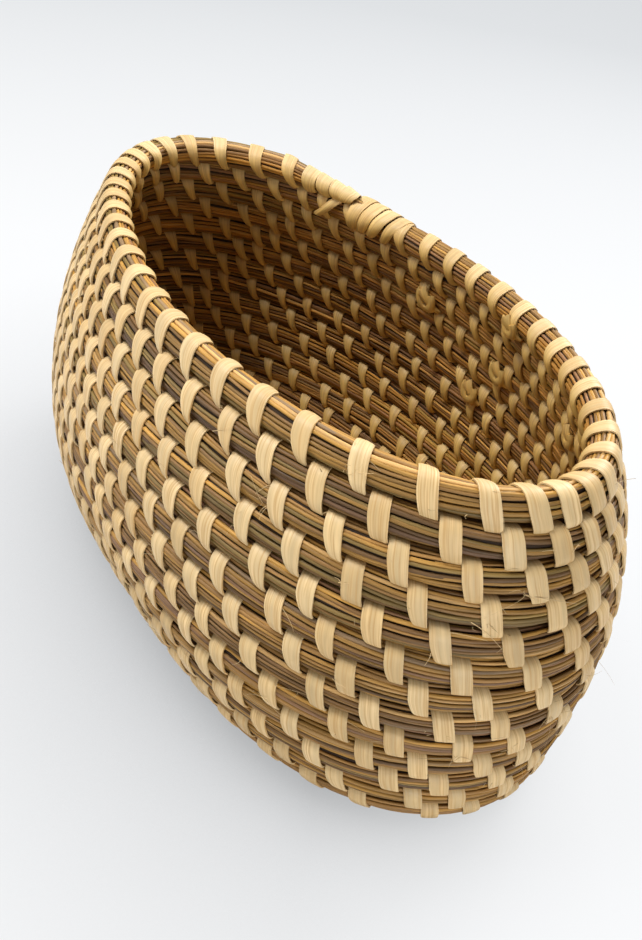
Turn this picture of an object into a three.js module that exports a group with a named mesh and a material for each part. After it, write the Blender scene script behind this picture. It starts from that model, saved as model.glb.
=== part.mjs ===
// Coiled bulrush basket, oval, without lid or handle.
// One unbroken bundle of stems winds from the middle of the base to the rim. Flat pale strips bind each row.
// Millimetres, +Z up, +X along the oval. The base stands on z = 0.

import * as THREE from 'three';

// The bundle of stems
const bundleThickness = 10;       // from the row below to the row above
const bundleWidth = 11;           // through the wall
const bundleFace = 6;             // the flatter face that looks in and out
const startShare = 0.5;           // section of the thin first stretch, as a share of the full one
const startThinTurns = 0.45;      // the first stretch keeps that section for so many turns
const startFullTurns = 0.9;       // and has the full section after so many
const endShare = 0.55;            // section of the bundle where it runs out on the rim

// The binding strips
const stripWidth = 6.8;
const stripThickness = 0.5;
const stripClearance = 0.35;      // between a strip and the bundle that it goes round
const gapClearance = 0.8;         // between a strip and each of the two rows that it passes between
const baseExtraGap = 0.87;        // the base is coiled a little looser than the wall

// The oval, measured to the middle of the bundle
const footHalfLength = 155;
const footHalfWidth = 70.2;
const bellyHalfLength = 159;
const bellyHalfWidth = 91.3;
const rimHalfLength = 134;
const rimHalfWidth = 69.5;
const rimHeight = 158;            // from the middle of the base bundle
const bellyShare = 0.426;         // height of the belly, as a share of the rim's
const footRadius = 14;            // the turn from the base up into the wall
const footBluntness = 0.5;        // 0 is a straight-sided oval, 1 an ellipse
const rimBluntness = 1.24;
const widerEnd = 0.055;           // the +X end is fuller than the other, as a share of the width

// Counts
const facetsPerTurn = 19;         // an odd number, so that the stitches of neighbouring rows alternate
const facetsPerStitch = 2;
const endFacets = 2;              // facets of the thinning end on the rim
const wallStrips = 12;            // lengths of strip that bind the wall, one after the other
const profileSteps = 600;

// Worked out
const rowPitch = bundleThickness + stripThickness + 2 * gapClearance;
const basePitch = rowPitch + baseExtraGap;
const baseTurns = (footHalfWidth - footRadius) / basePitch;
const coreHalfLength = footHalfLength - footHalfWidth;
const bellyHeight = bellyShare * rimHeight;

// A wall's half size at a height: one arc from the foot to the belly, one from the belly to the rim
function wallReach(height, foot, belly, rim) {
  const below = Math.max(0, bellyHeight - height) / bellyHeight;
  const above = Math.max(0, height - bellyHeight) / (rimHeight - bellyHeight);
  const inset = height < footRadius ? footRadius - Math.sqrt(footRadius ** 2 - (footRadius - height) ** 2) : 0;
  return belly - (belly - foot) * below ** 2 - (belly - rim) * above ** 2 - inset;
}

const wallHalfLength = (height) => wallReach(height, footHalfLength, bellyHalfLength, rimHalfLength);
const wallHalfWidth = (height) => wallReach(height, footHalfWidth, bellyHalfWidth, rimHalfWidth);

// Heights along the wall and the way travelled up it, which the rows share out evenly
const profile = [{ height: 0, travel: 0 }];
for (let i = 1; i <= profileSteps; i += 1) {
  const last = profile[i - 1];
  const height = rimHeight * (i / profileSteps) ** 2;
  const outLength = wallHalfLength(height) - wallHalfLength(last.height);
  const outWidth = wallHalfWidth(height) - wallHalfWidth(last.height);
  const step = Math.hypot(height - last.height, (outLength + outWidth) / 2);
  profile.push({ height, travel: last.travel + step });
}
const wallTurns = profile[profileSteps].travel / rowPitch;
const allTurns = baseTurns + wallTurns;

function heightAfter(travel) {
  let i = 1;
  while (i < profileSteps && profile[i].travel < travel) i += 1;
  const low = profile[i - 1];
  const high = profile[i];
  const share = (travel - low.travel) / (high.travel - low.travel);
  return low.height + (high.height - low.height) * share;
}

// The oval that the bundle follows after some turns from the middle of the base
function ovalAfter(turns) {
  if (turns <= baseTurns) {
    const halfWidth = basePitch * Math.max(turns, 0);
    const bluntness = footBluntness * Math.max(turns, 0) / baseTurns;
    return { halfWidth, halfLength: halfWidth + coreHalfLength, height: 0, bluntness };
  }
  const height = heightAfter((turns - baseTurns) * rowPitch);
  const bluntness = footBluntness + (rimBluntness - footBluntness) * height / rimHeight;
  return { halfWidth: wallHalfWidth(height), halfLength: wallHalfLength(height), height, bluntness };
}

function onOval(turns, angle) {
  const oval = ovalAfter(turns);
  const across = Math.cos(angle);
  const core = (oval.halfLength - oval.halfWidth) * Math.sign(across) * Math.abs(across) ** oval.bluntness;
  const x = core + oval.halfWidth * across;
  const y = oval.halfWidth * Math.sin(angle) * (1 + widerEnd * x / oval.halfLength);
  return new THREE.Vector3(x, y, bundleWidth / 2 + oval.height);
}

// The bundle winds clockwise, seen from above, and starts with a straight stretch along the middle
const angleAfter = (turns) => -2 * Math.PI * turns;
const straightTurns = 0.25;
const facetCount = Math.ceil((allTurns - straightTurns) * facetsPerTurn);
const turnsAt = (station) => allTurns - (facetCount - station) / facetsPerTurn;
const middle = (station) => onOval(turnsAt(station), angleAfter(turnsAt(station)));

function shareAt(station) {
  const turns = turnsAt(station);
  const grown = THREE.MathUtils.clamp((turns - startThinTurns) / (startFullTurns - startThinTurns), 0, 1);
  const left = THREE.MathUtils.clamp((facetCount - station) / endFacets, 0, 1);
  return Math.min(startShare + (1 - startShare) * grown, endShare + (1 - endShare) * left);
}

// A station holds the middle of the bundle, the way to the next row (up) and the way out of the basket (out)
function stationAt(station) {
  const turns = turnsAt(station);
  const angle = angleAfter(turns);
  const along = middle(Math.min(station + 1, facetCount)).sub(middle(Math.max(station - 1, 0))).normalize();
  const up = onOval(Math.min(turns + 0.5, allTurns), angle).sub(onOval(Math.max(turns - 0.5, 0), angle));
  up.addScaledVector(along, -up.dot(along)).normalize();
  const out = new THREE.Vector3().crossVectors(up, along).normalize();
  const share = shareAt(station);
  const centre = middle(station);
  if (turns > baseTurns) centre.addScaledVector(up, -(1 - share) * bundleThickness / 2);
  return { centre, up, out, share };
}
const stations = Array.from({ length: facetCount + 1 }, (_, i) => stationAt(i));

function besideStation(station, up, out) {
  return station.centre.clone().addScaledVector(station.up, up).addScaledVector(station.out, out);
}

// Closed solid through rings of points that go round in the same order.
// Opposite sides fold along the same diagonal, so that a thin twisted strip keeps its thickness.
function solidThrough(rings) {
  const sides = rings[0].length;
  const positions = rings.flat().flatMap((point) => point.toArray());
  const faces = [];
  for (let ring = 0; ring + 1 < rings.length; ring += 1) {
    for (let side = 0; side < sides; side += 1) {
      const a = ring * sides + side;
      const b = ring * sides + (side + 1) % sides;
      if (side < sides / 2) faces.push(a, a + sides, b, b, a + sides, b + sides);
      else faces.push(a, b + sides, b, a, a + sides, b + sides);
    }
  }
  const last = (rings.length - 1) * sides;
  for (let side = 1; side + 1 < sides; side += 1) {
    faces.push(0, side, side + 1, last, last + side + 1, last + side);
  }
  const geometry = new THREE.BufferGeometry();
  geometry.setAttribute('position', new THREE.Float32BufferAttribute(positions, 3));
  geometry.setIndex(faces);
  geometry.computeVertexNormals();
  return geometry;
}

// Least distance between points of one solid that lie some rings apart
function leastSelfGap(rings, ringsApart) {
  let least = Infinity;
  for (let i = 0; i < rings.length; i += 1) {
    for (let j = i + ringsApart; j < rings.length; j += 1) {
      for (const a of rings[i]) {
        for (const b of rings[j]) least = Math.min(least, a.distanceToSquared(b));
      }
    }
  }
  return Math.sqrt(least);
}

// The bundle: six sides, with a ridge towards each neighbouring row and a flatter face inside and outside.
// It is pressed flat where it stands on the ground.
function bundleRing(station) {
  const ridge = bundleThickness / 2 * station.share;
  const face = bundleFace / 2 * station.share;
  const depth = bundleWidth / 2 * station.share;
  const corners = [[ridge, 0], [face, depth], [-face, depth], [-ridge, 0], [-face, -depth], [face, -depth]];
  const ring = corners.map(([up, out]) => besideStation(station, up, out));
  return ring.map((point) => point.setZ(Math.max(point.z, 0)));
}

// One corner of a strip's way round the bundle: four points, near and far from the bundle at both edges
function stripRing(facet, place, upSign, outSign) {
  const from = stations[facet];
  const to = stations[facet + 1];
  const point = (extra, edge) => {
    const beside = (station) => {
      const up = bundleThickness / 2 * station.share + stripClearance + extra;
      const out = bundleWidth / 2 * station.share + stripClearance + extra;
      return besideStation(station, upSign * up, outSign * out);
    };
    const start = beside(from);
    const end = beside(to);
    return start.clone().lerp(end, place + edge * stripWidth / 2 / start.distanceTo(end));
  };
  return [point(0, -1), point(0, 1), point(stripThickness, 1), point(stripThickness, -1)];
}

// Half way to its next stitch a strip lies flat against the inside: four points in the order of a corner's
function travelRing(facet, place) {
  const point = (extra, edge) => {
    const beside = (station) => {
      const out = bundleWidth / 2 * station.share + stripClearance + extra;
      return besideStation(station, -edge * stripWidth / 2, -out);
    };
    return beside(stations[facet]).lerp(beside(stations[facet + 1]), place);
  };
  return [point(0, -1), point(0, 1), point(stripThickness, 1), point(stripThickness, -1)];
}

// A strip goes out over the bundle, down outside, in under it, and slants up inside to its next stitch
const wayRound = [[1, -1], [1, 1], [-1, 1], [-1, -1]];

function stripRings(stitches) {
  return stitches.flatMap(([facet, place], i) => {
    const rings = wayRound.map(([up, out]) => stripRing(facet, place, up, out));
    if (i + 1 === stitches.length) return rings;
    const [nextFacet, nextPlace] = stitches[i + 1];
    const halfWay = (facet + place + nextFacet + nextPlace) / 2;
    return [...rings, travelRing(Math.floor(halfWay), halfWay % 1)];
  });
}

const reed = new THREE.MeshStandardMaterial({ color: 0x7a5f3e, roughness: 0.8, metalness: 0 });
const strip = new THREE.MeshStandardMaterial({ color: 0xdcc08c, roughness: 0.6, metalness: 0 });
const basket = new THREE.Group();
const gaps = [];

function addPiece(name, rings, ringsApart, material) {
  const mesh = new THREE.Mesh(solidThrough(rings), material.clone());
  mesh.name = name;
  basket.add(mesh);
  gaps.push({ name, gap: leastSelfGap(rings, ringsApart) });
}

addPiece('foundation_coil', stations.map(bundleRing), Math.floor(facetsPerTurn / 2), reed);

// The wall is bound from above the foot to the rim, by lengths of strip that share it evenly
const footTurns = baseTurns + 1 + Math.PI / 2 * footRadius / rowPitch;
const lowestFacet = facetCount - Math.floor((allTurns - footTurns) * facetsPerTurn);
const highestFacet = facetCount - endFacets;
const hasStitch = (facet) => (highestFacet - facet) % facetsPerStitch === 0;
const facetAfterStrips = (count) => Math.round(lowestFacet + (highestFacet - lowestFacet) * count / wallStrips);
for (let number = 1; number <= wallStrips; number += 1) {
  const stitches = [];
  for (let facet = facetAfterStrips(number - 1); facet < facetAfterStrips(number); facet += 1) {
    if (hasStitch(facet)) stitches.push([facet, 0.5]);
  }
  addPiece(`wall_binding_${String(number).padStart(2, '0')}`, stripRings(stitches), 2, strip);
}

// The close stitches that hold the end of the bundle down on the rim, clear of the stitches of the row below
const endStitches = [];
for (let facet = highestFacet; facet < facetCount; facet += 1) {
  const places = hasStitch(facet - facetsPerTurn) ? [0.2, 0.8] : [0.2, 0.5, 0.8];
  endStitches.push(...places.map((place) => [facet, place]));
}
addPiece('rim_end_binding', stripRings(endStitches), 2, strip);

for (const { name, gap } of gaps) console.log(`${name}: least gap to itself ${gap.toFixed(2)} mm`);

export default basket;
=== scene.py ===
# Coiled bulrush basket: bundles of stems, the strips that bind them, materials, light and camera.
# Shapes are worked out in millimetres and become metres when a mesh is made.

import math

import bpy
import numpy as np
from mathutils import Matrix, Vector


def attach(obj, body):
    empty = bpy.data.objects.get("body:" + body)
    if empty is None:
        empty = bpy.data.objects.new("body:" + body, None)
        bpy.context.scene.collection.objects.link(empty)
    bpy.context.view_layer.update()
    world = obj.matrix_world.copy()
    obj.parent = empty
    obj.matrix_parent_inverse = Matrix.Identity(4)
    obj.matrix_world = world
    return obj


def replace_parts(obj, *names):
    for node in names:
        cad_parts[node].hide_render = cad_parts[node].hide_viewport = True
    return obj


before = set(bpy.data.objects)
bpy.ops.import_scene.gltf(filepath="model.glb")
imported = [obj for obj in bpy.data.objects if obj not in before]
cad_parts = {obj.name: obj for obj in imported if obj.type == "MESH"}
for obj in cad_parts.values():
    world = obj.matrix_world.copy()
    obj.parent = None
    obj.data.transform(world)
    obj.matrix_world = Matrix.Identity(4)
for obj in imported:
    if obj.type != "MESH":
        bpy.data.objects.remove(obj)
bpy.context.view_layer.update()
random = np.random.default_rng(11)
MM = 0.001

# The coil, as in the solids
row_pitch = 12.1
base_pitch = 12.97
foot_half_length = 155
foot_half_width = 70.2
belly_half_length = 159
belly_half_width = 91.3
belly_height = 67.3
rim_half_length = 134
rim_half_width = 69.5
rim_height = 158
foot_radius = 14
foot_bluntness = 0.5
rim_bluntness = 1.24
wider_end = 0.055
bundle_width = 11                 # of the solid bundle, through the wall
base_height = 6.5                 # of the middle of the bundle where the basket stands
straight_turns = 0.25             # the coil starts about here, along the middle of the base
facets_per_turn = 19
end_facets = 2                    # facets of the thinning end on the rim
wall_strips = 12
profile_steps = 600
base_turns = (foot_half_width - foot_radius) / base_pitch
core_half_length = foot_half_length - foot_half_width

# The bundle, squeezed to a rounded square by the strips
squareness = 2.6                  # of its section: 2 is an oval, more is squarer
stems_around = 20                 # outer stems, the ones that show
stem_radius = 0.81
bundle_half_up = 4.98             # to the middle of the outer stems
bundle_half_out = 4.75
most_spread = 1.3                 # the bundle lies wider, up to this much, where the rows are further apart
start_length = 14                 # how far its first end runs on along the middle of the base
stem_step = 4.5                   # between rings along a stem
stem_sides = 6
end_length = 46                   # stretch in which the bundle runs out on the rim
end_share = 0.2                   # what is left of its section there
tail_length = 8                   # how far its thin end runs on along the row below
stem_lengths = (260, 620)
stem_overlaps = (8, 16)
shortest_stem = 12
core_steps = 1500
core_sides = 8

# The strips
strip_width = 6.8
strip_thickness = 0.6
strip_crown = 1.0                 # how far the middle of a strip stands out inside, where it is pulled narrow
strip_half_up = 6.0               # of the loop that a strip makes round the bundle
strip_half_out = 5.75
strip_drop = 8.6                  # from the middle of the row to where a strip enters the row below
strip_curl = 10                   # depth at which its outside would have curled in to the middle of the row
strip_inside_share = 0.87         # of the way down that a strip takes inside
strip_outside_share = 0.98        # and outside
strip_inside_way = 8              # from the top of the bundle round to its inside
strip_lowest = 0.1                # the strips stay this far off the ground
strip_cut_from = 9                # this far before its end outside a strip starts to be cut back
strip_cut_over = 8                # and over this stretch the cut reaches its full depth
strip_crease = 50                 # degrees; sharper edges of a strip stay sharp
strip_rings = 29
side_shift = 10.6                 # a stitch sits this far along from the stitch of the row below
end_shift = 8.3                   # and this far at the ends of the basket
most_shift_angle = -0.87          # round the basket, where the shift is greatest
stitch_wander = 0.5
least_spacing = 9.0               # closer stitches are left out, where the rows get shorter
widest_spacing = 32               # wider gaps get more stitches, in the middle of the base
first_stitch_turns = 1.4          # from here on the coil has a row to be bound to
stitches_per_turn = 45.3
stitch_phase = 0.32               # puts the stitches of the rim where they are in the photograph
blunt_from = 125                  # stitches further along x than this are cut blunt
pointed_over = 70                 # and over this stretch they become pointed
rim_waves = (                     # how uneven their spacing is: waves round the rim, cosine and sine share
    (1, 0.11, 0.14),
    (2, 0.69, 0.42),
    (3, -0.12, -0.23),
    (4, 0.08, 0.10),
    (5, -0.03, -0.06),
    (6, -0.05, -0.09),
)


def wall_reach(height, foot, belly, rim):
    """A wall's half size at a height: curves from foot to belly and belly to rim, on a round foot."""
    below = np.maximum(0, belly_height - height) / belly_height
    above = np.maximum(0, height - belly_height) / (rim_height - belly_height)
    left = np.maximum(0, foot_radius - height)
    inset = foot_radius - np.sqrt(foot_radius ** 2 - np.minimum(left, foot_radius) ** 2)
    return belly - (belly - foot) * below ** 2 - (belly - rim) * above ** 2 - inset


def half_length_at(height):
    return wall_reach(height, foot_half_length, belly_half_length, rim_half_length)


def half_width_at(height):
    return wall_reach(height, foot_half_width, belly_half_width, rim_half_width)


# Heights along the wall and the way travelled up it, which the rows share out evenly
heights = rim_height * np.linspace(0, 1, profile_steps + 1) ** 2
reach_steps = (np.diff(half_length_at(heights)) + np.diff(half_width_at(heights))) / 2
travels = np.concatenate([[0], np.cumsum(np.hypot(np.diff(heights), reach_steps))])
all_turns = base_turns + travels[-1] / row_pitch

# The coil starts, as in the solids, with a straight stretch along the middle of the base
facet_count = math.ceil((all_turns - straight_turns) * facets_per_turn)
first_turns = all_turns - facet_count / facets_per_turn


def on_oval(turns, angle):
    """The middle of the bundle, after some turns and at an angle round the basket."""
    in_base = turns <= base_turns
    grown = np.maximum(turns, 0)
    height = np.where(in_base, 0, np.interp((turns - base_turns) * row_pitch, travels, heights))
    half_width = np.where(in_base, base_pitch * grown, half_width_at(height))
    half_length = np.where(in_base, base_pitch * grown + core_half_length, half_length_at(height))
    wall_bluntness = foot_bluntness + (rim_bluntness - foot_bluntness) * height / rim_height
    bluntness = np.where(in_base, foot_bluntness * grown / base_turns, wall_bluntness)
    across = np.cos(angle)
    x = (half_length - half_width) * np.sign(across) * np.abs(across) ** bluntness + half_width * across
    y = half_width * np.sin(angle) * (1 + wider_end * x / half_length)
    z = np.maximum(bundle_width / 2 + height, base_height)
    return np.stack([x, y, z], -1)


def unit(vectors):
    return vectors / np.linalg.norm(vectors, axis=-1, keepdims=True)


# A table of the coil: middle, way along, way to the next row (up) and way out of the basket (out)
table_rows = 30001
table_turns = np.linspace(first_turns, all_turns, table_rows)
table_angles = -2 * np.pi * table_turns
table_middle = on_oval(table_turns, table_angles)
small = 0.003
ahead = on_oval(table_turns + small, table_angles - 2 * np.pi * small)
behind = on_oval(table_turns - small, table_angles + 2 * np.pi * small)
table_along = unit(ahead - behind)
row_above = on_oval(np.minimum(table_turns + 0.5, all_turns), table_angles)
row_below = on_oval(np.maximum(table_turns - 0.5, 0), table_angles)
table_up = row_above - row_below
table_up -= table_along * np.sum(table_up * table_along, -1, keepdims=True)
table_spread = np.clip(np.linalg.norm(table_up, axis=1) / row_pitch, 1.0, most_spread)
table_spread[table_turns < 1] = base_pitch / row_pitch
table_up = unit(table_up)
table_out = unit(np.cross(table_up, table_along))
table_steps = np.linalg.norm(np.diff(table_middle, axis=0), axis=1)
table_length = np.concatenate([[0], np.cumsum(table_steps)])
coil_length = table_length[-1]


def length_at(turns):
    return np.interp(turns, table_turns, table_length)


def turns_at(length):
    return np.interp(length, table_length, table_turns)


def from_table(table, length):
    """A column of the table at some lengths along the coil."""
    held = np.clip(length, 0, coil_length)
    return np.stack([np.interp(held, table_length, table[:, i]) for i in range(3)], -1)


def section_share(length):
    """What is left of the bundle's section where it runs out on the rim."""
    left = np.clip((coil_length + tail_length - length) / end_length, 0, 1)
    return end_share + (1 - end_share) * left


def beside_coil(length, up, out):
    """Points beside the middle of the coil, at lengths along it; past its end it goes straight on."""
    share = section_share(length)
    middle = from_table(table_middle, length)
    along = from_table(table_along, length)
    up_way = from_table(table_up, length)
    out_way = from_table(table_out, length)
    over = length - np.clip(length, 0, coil_length)
    wide = np.interp(length, table_length, table_spread)
    lift = up * share * wide - (1 - share) * row_pitch / 2
    return middle + along * over[..., None] + up_way * lift[..., None] + out_way * (out * share)[..., None]


def section(half_up, half_out, drop=0.0):
    """Way round a section from the middle of its top, positive to the outside, with its points and normals.

    With a drop, the outside goes on almost straight down, on to the row below.
    """
    steps = 1440
    angle = np.linspace(-np.pi, np.pi, steps + 1)
    up = half_up * np.sign(np.cos(angle)) * np.abs(np.cos(angle)) ** (2 / squareness)
    out = half_out * np.sign(np.sin(angle)) * np.abs(np.sin(angle)) ** (2 / squareness)
    if drop:
        down = np.clip(angle / (np.pi / 2) - 1, 0, 1) * drop
        up = np.where(down > 0, -down, up)
        out = np.where(down > 0, half_out * (1 - (down / strip_curl) ** 5), out)
    way = np.concatenate([[0], np.cumsum(np.hypot(np.diff(up), np.diff(out)))])
    way -= way[steps // 2]
    normal_up = np.gradient(out, way)
    normal_out = -np.gradient(up, way)
    return {"way": way, "up": up, "out": out, "normal_up": normal_up, "normal_out": normal_out}


def on_section(shape, way, name):
    """One column of a section at some ways round it."""
    first = shape["way"][0]
    wrapped = (way - first) % (shape["way"][-1] - first) + first
    return np.interp(wrapped, shape["way"], shape[name])


stem_section = section(bundle_half_up, bundle_half_out)
stem_round = 2 * stem_section["way"][-1]
strip_section = section(strip_half_up, strip_half_out, strip_drop)
inside_reach = -strip_inside_share * strip_section["way"][0]
outside_reach = strip_outside_share * strip_section["way"][-1]


def stitch_count(turns):
    """Stitches made up to some turns on the rim's row: close round the ends, wide along the sides."""
    angle = -2 * np.pi * turns
    uneven = sum(c * np.cos(wave * angle) + s * np.sin(wave * angle) for wave, c, s in rim_waves)
    return stitches_per_turn * turns + uneven + stitch_phase


def length_below(length):
    """The place on the row below, straight under a place on the coil, found near one turn back."""
    middle = from_table(table_middle, np.array([length]))[0]
    along = from_table(table_along, np.array([length]))[0]
    turns = turns_at(length)
    first, last = np.searchsorted(table_turns, [turns - 1.12, turns - 0.88])
    beside = np.abs((table_middle[first:last] - middle) @ along)
    return table_length[first + beside.argmin()]


def chain_shift(length):
    """How far a stitch sits along from the one below it: most along the sides, least round the ends."""
    angle = -2 * math.pi * turns_at(length)
    return end_shift + (side_shift - end_shift) * max(0.0, math.cos(2 * (angle - most_shift_angle)))


# Where the stitches are, as lengths along the coil, from the rim down to the middle of the base
rim_turns = np.linspace(all_turns - 1.03, all_turns + 0.01, 4001)
rim_counts = stitch_count(rim_turns)
whole = np.arange(math.ceil(rim_counts[0]), math.floor(rim_counts[-1]) + 1)
stitches = list(length_at(np.interp(whole, rim_counts, rim_turns))[::-1])
parent = 0
while turns_at(stitches[parent]) > first_stitch_turns:
    below = length_below(stitches[parent])
    child = below - chain_shift(below) + random.normal(0, stitch_wander)
    parent += 1
    if child < stitches[-1] - least_spacing:
        while stitches[-1] - child > widest_spacing:
            stitches.append(stitches[-1] - widest_spacing / 2)
        stitches.append(child)
stitches = np.array(stitches)


def from_stitch(length):
    """Distance along the coil to the nearest stitch."""
    ordered = stitches[::-1]
    after = np.clip(np.searchsorted(ordered, length), 1, len(ordered) - 1)
    return np.minimum(np.abs(length - ordered[after - 1]), np.abs(length - ordered[after]))


# Materials

def new_material(name):
    material = bpy.data.materials.new(name)
    material.use_nodes = True
    return material, material.node_tree, material.node_tree.nodes["Principled BSDF"]


def node(tree, kind, **values):
    made = tree.nodes.new(kind)
    for key, value in values.items():
        setattr(made, key, value)
    return made


def attribute_node(tree, name):
    return node(tree, "ShaderNodeAttribute", attribute_name=name)


def scaled(tree, vector, scale):
    made = node(tree, "ShaderNodeVectorMath", operation="MULTIPLY")
    tree.links.new(vector, made.inputs[0])
    made.inputs[1].default_value = scale
    return made.outputs[0]


def noise(tree, vector, scale, detail):
    made = node(tree, "ShaderNodeTexNoise")
    tree.links.new(vector, made.inputs["Vector"])
    made.inputs["Scale"].default_value = scale
    made.inputs["Detail"].default_value = detail
    made.inputs["Roughness"].default_value = 0.55
    return made.outputs["Fac"]


def spread(tree, value, low, high, to_low, to_high):
    made = node(tree, "ShaderNodeMapRange")
    tree.links.new(value, made.inputs["Value"])
    made.inputs["From Min"].default_value = low
    made.inputs["From Max"].default_value = high
    made.inputs["To Min"].default_value = to_low
    made.inputs["To Max"].default_value = to_high
    return made.outputs["Result"]


def mixed(tree, mode, share, first, second):
    made = node(tree, "ShaderNodeMix", data_type="RGBA", blend_type=mode)
    for socket, value in ((made.inputs[0], share), (made.inputs[6], first), (made.inputs[7], second)):
        if isinstance(value, bpy.types.NodeSocket):
            tree.links.new(value, socket)
        else:
            socket.default_value = value
    return made.outputs[2]


def bumped(tree, shader, height, strength, distance):
    made = node(tree, "ShaderNodeBump")
    made.inputs["Strength"].default_value = strength
    made.inputs["Distance"].default_value = distance
    tree.links.new(height, made.inputs["Height"])
    tree.links.new(made.outputs["Normal"], shader.inputs["Normal"])


def strip_material():
    """Split pale strip: long fine grain with a few darker fibres, satin."""
    material, tree, shader = new_material("pale_strip")
    tint = attribute_node(tree, "tint").outputs["Color"]
    grain = attribute_node(tree, "grain").outputs["Vector"]
    fine = noise(tree, scaled(tree, grain, (1.6, 0.03, 1.0)), 1.0, 3.0)
    broad = noise(tree, scaled(tree, grain, (0.5, 0.03, 1.0)), 1.0, 2.0)
    streak = spread(tree, fine, 0.48, 0.63, 0.0, 0.75)
    broad_light = spread(tree, broad, 0.3, 0.7, 0.86, 1.14)
    lit = mixed(tree, "MULTIPLY", 1.0, tint, broad_light)
    colour = mixed(tree, "MIX", streak, lit, (0.47, 0.28, 0.10, 1.0))
    tree.links.new(colour, shader.inputs["Base Color"])
    tree.links.new(spread(tree, fine, 0.3, 0.7, 0.42, 0.62), shader.inputs["Roughness"])
    shader.inputs["Specular IOR Level"].default_value = 0.35
    bumped(tree, shader, fine, 0.4, 0.0003)
    return material


def stem_material():
    """Dry bulrush stems: mixed browns that change slowly along each stem, with fine lengthwise ribs."""
    material, tree, shader = new_material("bulrush_stem")
    tint = attribute_node(tree, "tint").outputs["Color"]
    grain = attribute_node(tree, "grain").outputs["Vector"]
    blotch = noise(tree, scaled(tree, grain, (0.35, 0.035, 3.0)), 1.0, 4.0)
    ribs = noise(tree, scaled(tree, grain, (3.0, 0.02, 3.0)), 1.0, 2.0)
    light = spread(tree, blotch, 0.3, 0.7, 0.62, 1.3)
    rib_light = spread(tree, ribs, 0.3, 0.7, 0.8, 1.15)
    colour = mixed(tree, "MULTIPLY", 1.0, mixed(tree, "MULTIPLY", 1.0, tint, light), rib_light)
    tree.links.new(colour, shader.inputs["Base Color"])
    tree.links.new(spread(tree, ribs, 0.3, 0.7, 0.45, 0.65), shader.inputs["Roughness"])
    shader.inputs["Specular IOR Level"].default_value = 0.4
    bumped(tree, shader, ribs, 0.4, 0.0003)
    return material


def core_material():
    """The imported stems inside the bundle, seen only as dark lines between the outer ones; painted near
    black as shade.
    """
    material, tree, shader = new_material("packed_stems_painted_shade")
    place = node(tree, "ShaderNodeTexCoord").outputs["Object"]
    patches = noise(tree, place, 300.0, 2.0)
    colour = mixed(tree, "MIX", patches, (0.012, 0.005, 0.001, 1.0), (0.040, 0.018, 0.005, 1.0))
    tree.links.new(colour, shader.inputs["Base Color"])
    tree.links.new(spread(tree, patches, 0.3, 0.7, 0.8, 0.95), shader.inputs["Roughness"])
    bumped(tree, shader, patches, 0.5, 0.0005)
    return material


pale_strip = strip_material()
bulrush_stem = stem_material()
packed_stems_painted_shade = core_material()


# Meshes

def add_piece(name, points, faces, material, tint, grain, crease):
    """A piece of the basket; edges sharper than the crease, in degrees, stay sharp."""
    mesh = bpy.data.meshes.new(name)
    mesh.from_pydata((points * MM).tolist(), [], faces)
    colours = np.concatenate([tint, np.ones((len(tint), 1))], 1)
    mesh.attributes.new("tint", "FLOAT_COLOR", "POINT").data.foreach_set("color", colours.ravel())
    mesh.attributes.new("grain", "FLOAT_VECTOR", "POINT").data.foreach_set("vector", grain.ravel())
    mesh.materials.append(material)
    mesh.shade_smooth()
    if crease is not None:
        mesh.set_sharp_from_angle(angle=math.radians(crease))
    mesh.validate()
    piece = bpy.data.objects.new(name, mesh)
    bpy.context.scene.collection.objects.link(piece)
    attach(piece, "root")
    return piece


class Parts:
    """Gathers tubes and strips into one mesh."""

    def __init__(self):
        self.points = []
        self.faces = []
        self.tints = []
        self.grains = []
        self.count = 0

    def add_rings(self, rings, tint, grain):
        """A closed tube through rings of points, shaped (ring, side, xyz)."""
        ring_count, sides = rings.shape[:2]
        index = self.count + np.arange(ring_count * sides).reshape(ring_count, sides)
        after = np.roll(index, -1, axis=1)
        quads = np.stack([index[:-1], after[:-1], after[1:], index[1:]], -1).reshape(-1, 4)
        self.faces.extend(quads.tolist())
        self.faces.append(index[0][::-1].tolist())
        self.faces.append(index[-1].tolist())
        self.points.append(rings.reshape(-1, 3))
        self.tints.append(np.broadcast_to(tint, rings.shape).reshape(-1, 3))
        self.grains.append(grain.reshape(-1, 3))
        self.count += ring_count * sides

    def piece(self, name, material, slot, crease=None):
        points = np.concatenate(self.points)
        tints = np.concatenate(self.tints)
        grains = np.concatenate(self.grains)
        return add_piece(name, points, self.faces, material, tints, grains, crease)


# The stems, laid end to end in places round the bundle

stem_colours = np.array([
    (0.275, 0.142, 0.036),        # mid brown
    (0.210, 0.110, 0.050),        # mauve brown
    (0.155, 0.078, 0.022),        # dark brown
    (0.380, 0.200, 0.040),        # golden
    (0.320, 0.168, 0.034),        # ochre
    (0.255, 0.158, 0.038),        # olive
    (0.440, 0.255, 0.085),        # light tan
    (0.225, 0.140, 0.066),        # grey brown
])
stem_odds = np.array([0.27, 0.10, 0.14, 0.13, 0.16, 0.08, 0.08, 0.04])
stem_light = 0.93
painted_top_light = 0.25                  # painted light added on top of a row and taken off under it as painted shade
# Painted warm light on the stems that face the inside of the basket
inside_painted_warmth = np.array([0.26, 0.08, -0.34])


def waves(length, size, longest):
    """Smooth seeded wander along a length."""
    total = np.zeros_like(length)
    for part in range(3):
        wave = longest / (1.0 + 1.3 * part)
        total += np.sin(length * 2 * np.pi / wave + random.uniform(0, 2 * np.pi)) / (1 + part)
    return size * total / 1.6


twist_waves = [(random.uniform(140, 420), random.uniform(0, 2 * np.pi)) for part in range(4)]


def bundle_twist(length):
    """How far the whole bundle is turned, in millimetres round its section."""
    return sum(0.7 * np.sin(length * 2 * np.pi / wave + phase) for wave, phase in twist_waves)


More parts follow.
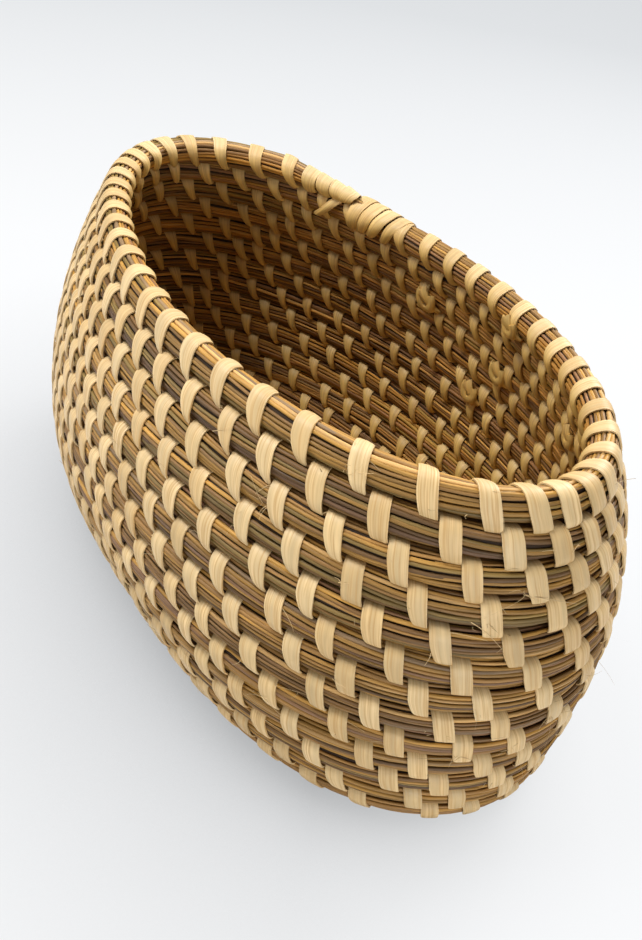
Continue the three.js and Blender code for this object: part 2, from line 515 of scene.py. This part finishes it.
def stem_rings(length, place, tip):
    """Rings of one stem along the coil, at a place round the bundle; it is thin near its tips."""
    radius = stem_radius * random.uniform(0.72, 1.2)
    bulge = 0.05 * np.clip(from_stitch(length) / 10, 0, 1) - 0.02
    way = place + waves(length, 0.5, 150) + bundle_twist(length)
    reach = 1 + bulge + waves(length, 0.025, 120)
    up = reach * on_section(stem_section, way, "up")
    out = reach * on_section(stem_section, way, "out")
    around = np.linspace(0, 2 * np.pi, stem_sides, endpoint=False)
    thick = radius * (1 + waves(length, 0.08, 90)) * np.clip(0.3 + tip / 14, 0.3, 1)
    ring_up = up[:, None] + thick[:, None] * np.cos(around)
    ring_out = out[:, None] + thick[:, None] * np.sin(around)
    lengths = np.broadcast_to(length[:, None], ring_up.shape)
    rings = beside_coil(lengths, ring_up, ring_out)
    seed = random.uniform(0, 200)
    across = np.broadcast_to(around * radius, ring_up.shape)
    grain = np.stack([across, lengths, np.full(ring_up.shape, seed)], -1)
    return rings, grain


def lay_stems(parts, first, last):
    """All the stems of a stretch of the coil."""
    for slot in range(stems_around):
        place = stem_round * (slot + random.uniform(-0.2, 0.2)) / stems_around
        upper = on_section(stem_section, place, "up") / bundle_half_up
        inner = max(0.0, -on_section(stem_section, place, "out") / bundle_half_out)
        # The stem's tone with painted light and shade: lighter on top of a row, darker under it, warmer
        # inside
        tone_and_painted_light = stem_light + painted_top_light * upper + inner * inside_painted_warmth
        start = first - random.uniform(0, 200)
        while start < last:
            end = start + random.uniform(*stem_lengths)
            begin = max(start, first)
            stop = min(end, last)
            if stop - begin > shortest_stem:
                steps = max(3, int((stop - begin) / stem_step))
                length = np.linspace(begin, stop, steps)
                tip = np.minimum(length - start, end - length)
                rings, grain = stem_rings(length, place, tip)
                base = stem_colours[random.choice(len(stem_colours), p=stem_odds)]
                parts.add_rings(rings, base * tone_and_painted_light * random.uniform(0.78, 1.22), grain)
            start = end - random.uniform(*stem_overlaps)


stem_piece_turns = (6.2, 10.4, 14.6)  # where one piece of stems ends and the next one starts
stem_bounds = length_at(np.array([first_turns, *stem_piece_turns, all_turns]))
stem_bounds[0] -= start_length
stem_bounds[-1] += tail_length
stem_names = ["stems_base", "stems_low", "stems_middle", "stems_high"]
for name, first, last in zip(stem_names, stem_bounds[:-1], stem_bounds[1:]):
    parts = Parts()
    lay_stems(parts, first, last)
    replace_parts(parts.piece(name, bulrush_stem, "reed"), "foundation_coil")

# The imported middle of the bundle
core_share = 0.97                 # of the section through the middles of the outer stems
# Painted shade: the core's tint is near black, like its material
core_painted_shade = np.array([0.04, 0.025, 0.012])  # tint of the core piece; its material has its own
core_shape = (core_steps, core_sides)
core_length = np.linspace(-start_length, coil_length + tail_length / 2, core_steps)
core_lengths = np.broadcast_to(core_length[:, None], core_shape)
core_ways = stem_round * np.arange(core_sides) / core_sides
core_up = np.broadcast_to(core_share * on_section(stem_section, core_ways, "up"), core_shape)
core_out = np.broadcast_to(core_share * on_section(stem_section, core_ways, "out"), core_shape)
core_parts = Parts()
core_rings = beside_coil(core_lengths, core_up, core_out)
core_parts.add_rings(core_rings, core_painted_shade, np.zeros(core_rings.shape))
core_parts.piece("bundle_core", packed_stems_painted_shade, "reed")


# The stitches

strip_colours = np.array([
    (0.605, 0.435, 0.215),
    (0.635, 0.465, 0.240),
    (0.570, 0.400, 0.190),
])
strip_painted_warmth = np.array([-0.06, 0.06, 0.48])  # painted warm light: the strips are yellower inside
strip_across = np.array([1.0, 0.72, 0.0, -0.72, -1.0, -1.0, 1.0])
strip_high = np.array([0.74, 0.95, 1.0, 0.95, 0.74, -0.25, -0.25]) * strip_thickness


def ease(value):
    held = np.clip(value, 0, 1)
    return held * held * (3 - 2 * held)


def add_strip(parts, lengths, ways, half_width, travel, lift):
    """A flat strip on the bundle, through rings of places along the coil and round its section."""
    normal_up = on_section(strip_section, ways, "normal_up")
    normal_out = on_section(strip_section, ways, "normal_out")
    inner = np.clip(-ways / strip_inside_way, 0, 1)
    crown = strip_crown * inner * (1 - strip_across ** 2)
    high = strip_high + crown + np.broadcast_to(lift, travel.shape)[:, None]
    rise = high / np.hypot(normal_up, normal_out)
    up = on_section(strip_section, ways, "up") + normal_up * rise
    out = on_section(strip_section, ways, "out") + normal_out * rise
    seed = np.full(ways.shape, random.uniform(0, 300))
    sideways = np.broadcast_to(strip_across * half_width, ways.shape)
    grain = np.stack([sideways, np.broadcast_to(travel[:, None], ways.shape), seed], -1)
    tint = strip_colours[random.integers(len(strip_colours))] * random.uniform(0.9, 1.06)
    places = beside_coil(lengths, up, out)
    places[..., 2] = np.maximum(places[..., 2], strip_lowest)
    # Painted warm light on the inside part of each strip
    parts.add_rings(places, tint * (1 - inner[..., None] * strip_painted_warmth), grain)


def lay_band(parts, at, way, back_edge, front_edge, lift=0.0):
    """A strip round the bundle, by its way round the section and its two edges along the coil."""
    half = (front_edge - back_edge) / 2
    lengths = at + (back_edge + half)[:, None] + half[:, None] * strip_across
    ways = np.broadcast_to(way[:, None], lengths.shape)
    add_strip(parts, lengths, ways, half.max(), way, lift)


def lay_path(parts, at, along, way, width, lift):
    """A strip of even width on a path over the bundle, given along the coil and round the section."""
    ahead = unit(np.stack([np.gradient(along), np.gradient(way)], -1))
    side = width / 2 * strip_across
    lengths = at + along[:, None] + ahead[:, 1:] * side
    ways = way[:, None] - ahead[:, :1] * side
    travel = np.cumsum(np.hypot(np.gradient(along), np.gradient(way)))
    add_strip(parts, lengths, ways, width / 2, travel, lift)


def sew(parts, at, slant_out, slant_in, width, cut, taper, swell=0.0):
    """One stitch: out of the gap below, up inside, over the bundle, down outside and into the row below."""
    way = np.linspace(-inside_reach, outside_reach, strip_rings)
    inside = np.clip(-way / inside_reach, 0, 1)
    outside = np.clip(way / outside_reach, 0, 1)
    low = np.clip((way - outside_reach + strip_cut_from) / strip_cut_over, 0, 1) ** 1.5
    half_width = width / 2 * (1 - taper * inside ** 1.6)
    lean = slant_in * inside ** 1.3 - slant_out * outside
    lift = swell * ease(1.4 - 1.6 * np.maximum(inside, outside))
    lay_band(parts, at, way, lean - half_width, lean + half_width - cut * low, lift)


def usual_shape(at):
    """Sizes of one stitch: blunt round the near end of the basket, running out to a point elsewhere."""
    x = from_table(table_middle, np.array([at]))[0, 0]
    pointed = np.clip((blunt_from - x) / pointed_over, 0, 1)
    return {
        "slant_out": random.normal(4.0, 0.6),
        "slant_in": random.normal(5.0, 0.8),
        "width": strip_width * random.uniform(0.93, 1.05),
        "cut": np.clip(random.normal(1.1 + 3.3 * pointed, 0.6), 0.3, 5.2),
        "taper": random.uniform(0.62, 0.78),
    }


# The stretches of coil that the solids' strips bind
foot_turns = base_turns + 1 + math.pi / 2 * foot_radius / row_pitch
lowest_facet = facet_count - math.floor((all_turns - foot_turns) * facets_per_turn)
highest_facet = facet_count - end_facets
strip_facets = np.round(np.linspace(lowest_facet, highest_facet, wall_strips + 1))
strip_bounds = length_at(all_turns - (facet_count - strip_facets) / facets_per_turn)

# Under and beyond the end of the bundle the close wraps take the place of the usual stitches
under_end = length_below(coil_length)
close_stretches = ((coil_length - 31, coil_length + 40), (under_end + 4, under_end + 27))
usual = np.ones(len(stitches), bool)
for first, last in close_stretches:
    usual &= (stitches < first) | (stitches > last)
usual_stitches = stitches[usual]

for number in range(wall_strips + 1):
    first = strip_bounds[number - 1] if number else 0
    last = strip_bounds[number] if number < wall_strips else coil_length
    parts = Parts()
    for at in usual_stitches[(usual_stitches >= first) & (usual_stitches < last)]:
        sew(parts, at, **usual_shape(at))
    if number:
        piece = parts.piece("wall_stitches_%02d" % number, pale_strip, "strip", strip_crease)
        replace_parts(piece, "wall_binding_%02d" % number)
    else:
        parts.piece("base_stitches", pale_strip, "strip", strip_crease)

# The close wraps that hold the end of the bundle down: distance from the end, lean, width and swell
wraps_before = ((24.0, 0.5, 7.4, 0.3), (16.5, 1.5, 7.0, 0.9), (9.0, 1.0, 7.0, 2.2), (1.5, -6.0, 7.4, 4.6))
wraps_after = ((4.5, -5.0, 7.4, 2.2), (12.0, -8.0, 7.0, 1.6), (19.5, -10.0, 7.0, 1.0), (27.0, -9.0, 6.2, 0.5))
end_wraps = Parts()
for before, lean, width, swell in wraps_before:
    sew(end_wraps, coil_length - before, 1.0, lean, width, 1.0, 0.3, swell)
for after, lean, width, swell in wraps_after:
    sew(end_wraps, under_end + after, -3.0, lean, width, 1.0, 0.3, swell)
crossing = np.linspace(-12, 1, 15)
lay_band(end_wraps, under_end - 15, crossing, np.linspace(-6, 8, 15), np.linspace(-1, 14, 15), 1.2)
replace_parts(end_wraps.piece("rim_end_wraps", pale_strip, "strip", strip_crease), "rim_end_binding")

# Turned strip ends on the inside: turns back from the end of the coil, and size
turned_ends = ((2.937, 4.2), (0.859, 3.0), (3.879, 3.6), (5.901, 3.6), (2.803, 3.0))
knots = Parts()
for back, size in turned_ends:
    at = length_at(all_turns - back)
    bend = np.linspace(-0.2, 1.2, 21) * np.pi
    bulge = 1.0 + 1.4 * np.clip(np.sin(bend), 0, 1)
    lay_path(knots, at, size * np.cos(bend), -9.5 - 1.2 * size * np.sin(bend), 4.2, bulge)
    tab = np.linspace(-15, -6, 13)
    lay_path(knots, at, np.linspace(1.6 * size, -0.6 * size, 13), tab, 4.6, np.linspace(0.3, 1.7, 13))
knots.piece("turned_strip_ends", pale_strip, "strip", strip_crease)


def add_fibre(parts, at, way, size, heading, curl, radius):
    """A hair that leaves the basket at a place on a bundle; heading and curl are along, up and out."""
    place = np.array([at])
    foot_up = on_section(strip_section, np.array([way]), "up")
    foot_out = on_section(strip_section, np.array([way]), "out")
    foot = beside_coil(place, foot_up, foot_out)[0]
    axes = np.stack([from_table(table, place)[0] for table in (table_along, table_up, table_out)])
    steps = np.linspace(0, 1, 8)[:, None]
    line = foot + size * (steps * (heading @ axes) + steps ** 2 * (curl @ axes))
    ahead = unit(np.gradient(line, axis=0))
    side = unit(np.cross(ahead, axes[1] + 0.01))
    other = np.cross(ahead, side)
    around = np.linspace(0, 2 * np.pi, 4, endpoint=False)[:, None]
    thin = radius * (1 - 0.6 * steps)[:, :, None]
    rings = line[:, None] + thin * (np.cos(around) * side[:, None] + np.sin(around) * other[:, None])
    tint = strip_colours[0] * random.uniform(0.55, 1.1)
    parts.add_rings(rings, tint, np.zeros(rings.shape))


# Loose fibres: short ones beside stitches, most at the near end, some in tangles, and long hairs
near_end_fibres = 66
other_fibres = 24
tangle_count = 9
fibres_per_tangle = 7
hair_count = 9
fibres = Parts()
fibre_places = usual_stitches[usual_stitches < length_at(all_turns - 0.5)]
x, y, z = from_table(table_middle, fibre_places).T
anywhere = fibre_places[z > 25]
near_end = fibre_places[(x > 25) & (y < 30) & (z > 25)]
tangle_places = fibre_places[(x > 70) & (y < 0) & (z > 60)]
tangles = random.choice(tangle_places, tangle_count, replace=False)
right_end = fibre_places[(x > 135) & (z > 40)]
near_places = random.choice(near_end, near_end_fibres)
other_places = random.choice(anywhere, other_fibres)
for at in np.concatenate([near_places, other_places, np.repeat(tangles, fibres_per_tangle)]):
    heading = np.array([random.normal(0, 0.8), random.normal(0, 0.4), random.uniform(0.05, 0.35)])
    curl = np.array([random.normal(0, 0.4), random.normal(0, 0.3), random.uniform(-0.15, 0.2)])
    way = random.choice([12.0, 13.5, 5.0])
    size = random.uniform(3, 9)
    add_fibre(fibres, at + random.uniform(-4, 4), way, size, heading, curl, random.uniform(0.09, 0.2))
for at in random.choice(right_end, hair_count):
    heading = np.array([random.normal(0, 0.5), random.normal(0, 0.4), random.uniform(0.3, 0.6)])
    curl = np.array([random.normal(0, 0.5), random.normal(0.1, 0.4), random.uniform(-0.3, 0.0)])
    add_fibre(fibres, at, 10.0, random.uniform(12, 22), heading, curl, 0.07)
fibres.piece("loose_fibres", pale_strip, "strip")


def floor_material():
    """Pale floor; the camera sees it almost white, painted greyer far off, with a painted soft shade beside
    the basket, mostly left of it, and painted dark under it.
    """
    material, tree, shader = new_material("floor_white")
    shader.inputs["Base Color"].default_value = (0.62, 0.63, 0.65, 1.0)
    shader.inputs["Roughness"].default_value = 0.7
    # Painted shade: ambient occlusion darkens the colour the camera sees beside and under the basket
    near = node(tree, "ShaderNodeAmbientOcclusion", samples=8)
    near.inputs["Distance"].default_value = 0.16
    shade = spread(tree, near.outputs["AO"], 0.3, 1.0, 0.0, 1.0)
    to_right = node(tree, "ShaderNodeVectorMath", operation="DOT_PRODUCT")
    place = node(tree, "ShaderNodeNewGeometry").outputs["Position"]
    tree.links.new(place, to_right.inputs[0])
    to_right.inputs[1].default_value = (0.66, 0.75, 0.0)
    away = node(tree, "ShaderNodeVectorMath", operation="DOT_PRODUCT")
    tree.links.new(place, away.inputs[0])
    away.inputs[1].default_value = (-0.75, 0.66, 0.0)
    far = spread(tree, away.outputs["Value"], 0.3, 1.1, 0.0, 1.0)
    white = mixed(tree, "MIX", far, (0.96, 0.97, 0.98, 1.0), (0.77, 0.79, 0.81, 1.0))
    open_side = spread(tree, to_right.outputs["Value"], 0.03, 0.15, 0.0, 0.85)
    dark = mixed(tree, "MIX", open_side, (0.48, 0.49, 0.50, 1.0), white)
    pale = node(tree, "ShaderNodeEmission")
    under = spread(tree, near.outputs["AO"], 0.0, 0.12, 0.05, 1.0)
    colour = mixed(tree, "MULTIPLY", 1.0, mixed(tree, "MIX", shade, dark, white), under)
    tree.links.new(colour, pale.inputs["Color"])
    seen = node(tree, "ShaderNodeLightPath").outputs["Is Camera Ray"]
    share = node(tree, "ShaderNodeMath", operation="MULTIPLY")
    share.inputs[1].default_value = 0.9
    tree.links.new(seen, share.inputs[0])
    both = node(tree, "ShaderNodeMixShader")
    tree.links.new(share.outputs[0], both.inputs[0])
    tree.links.new(shader.outputs[0], both.inputs[1])
    tree.links.new(pale.outputs[0], both.inputs[2])
    tree.links.new(both.outputs[0], tree.nodes["Material Output"].inputs["Surface"])
    return material


floor_mesh = bpy.data.meshes.new("floor")
floor_mesh.from_pydata([(-6, -6, 0), (6, -6, 0), (6, 6, 0), (-6, 6, 0)], [], [(0, 1, 2, 3)])
floor_mesh.materials.append(floor_material())
floor = bpy.data.objects.new("floor", floor_mesh)
bpy.context.scene.collection.objects.link(floor)


def area_light(name, place, aim, size, watts):
    """A soft rectangular light that looks at a point, in metres."""
    light = bpy.data.lights.new(name, "AREA")
    light.shape = "RECTANGLE"
    light.size = size[0]
    light.size_y = size[1]
    light.energy = watts
    lamp = bpy.data.objects.new(name, light)
    bpy.context.scene.collection.objects.link(lamp)
    way = Vector(aim) - Vector(place)
    lamp.matrix_world = Matrix.Translation(place) @ way.to_track_quat("-Z", "Y").to_matrix().to_4x4()


basket_middle = (0, 0, 0.07)
area_light("key", (-0.26, -0.28, 1.0), basket_middle, (0.4, 0.4), 10.8)
area_light("back", (-0.1, 0.85, 0.8), basket_middle, (0.5, 0.5), 14)
area_light("right", (1.3, -0.5, 0.16), basket_middle, (1.2, 0.4), 12)
area_light("left", (-0.7, -0.9, 0.5), basket_middle, (0.6, 0.6), 4.2)

# A dim white room, which the camera sees pale
world = bpy.data.worlds.new("studio")
world.use_nodes = True
seen = node(world.node_tree, "ShaderNodeLightPath").outputs["Is Camera Ray"]
strength = spread(world.node_tree, seen, 0.0, 1.0, 0.22, 0.85)
room = world.node_tree.nodes["Background"]
room.inputs["Color"].default_value = (1.0, 1.0, 1.0, 1.0)
world.node_tree.links.new(strength, room.inputs["Strength"])
scene = bpy.context.scene
scene.world = world
scene.view_settings.view_transform = "Standard"

# The photograph's viewpoint
view_azimuth = 0.85
view_elevation = 0.684
view_roll = 0.173
view_distance = 461.3
view_target = np.array([1.4, 13.0, 59.1])
focal_pixels = 971.6
photo_height = 940                # in pixels
sensor_height = 36
back_way = np.array([math.sin(view_azimuth) * math.cos(view_elevation),
                     -math.cos(view_azimuth) * math.cos(view_elevation), math.sin(view_elevation)])
right_way = unit(np.cross(-back_way, [0.0, 0.0, 1.0]))
up_way = np.cross(right_way, -back_way)
rolled_right = math.cos(view_roll) * right_way + math.sin(view_roll) * up_way
rolled_up = math.cos(view_roll) * up_way - math.sin(view_roll) * right_way
camera_data = bpy.data.cameras.new("camera")
camera_data.sensor_fit = "VERTICAL"
camera_data.sensor_height = sensor_height
camera_data.lens = focal_pixels * sensor_height / photo_height
camera_data.clip_start = 0.01
camera = bpy.data.objects.new("camera", camera_data)
scene.collection.objects.link(camera)
axes = np.stack([rolled_right, rolled_up, back_way], 1)
spot = (view_target + back_way * view_distance) * MM
camera.matrix_world = Matrix.Translation(spot.tolist()) @ Matrix(axes.tolist()).to_4x4()
scene.camera = camera
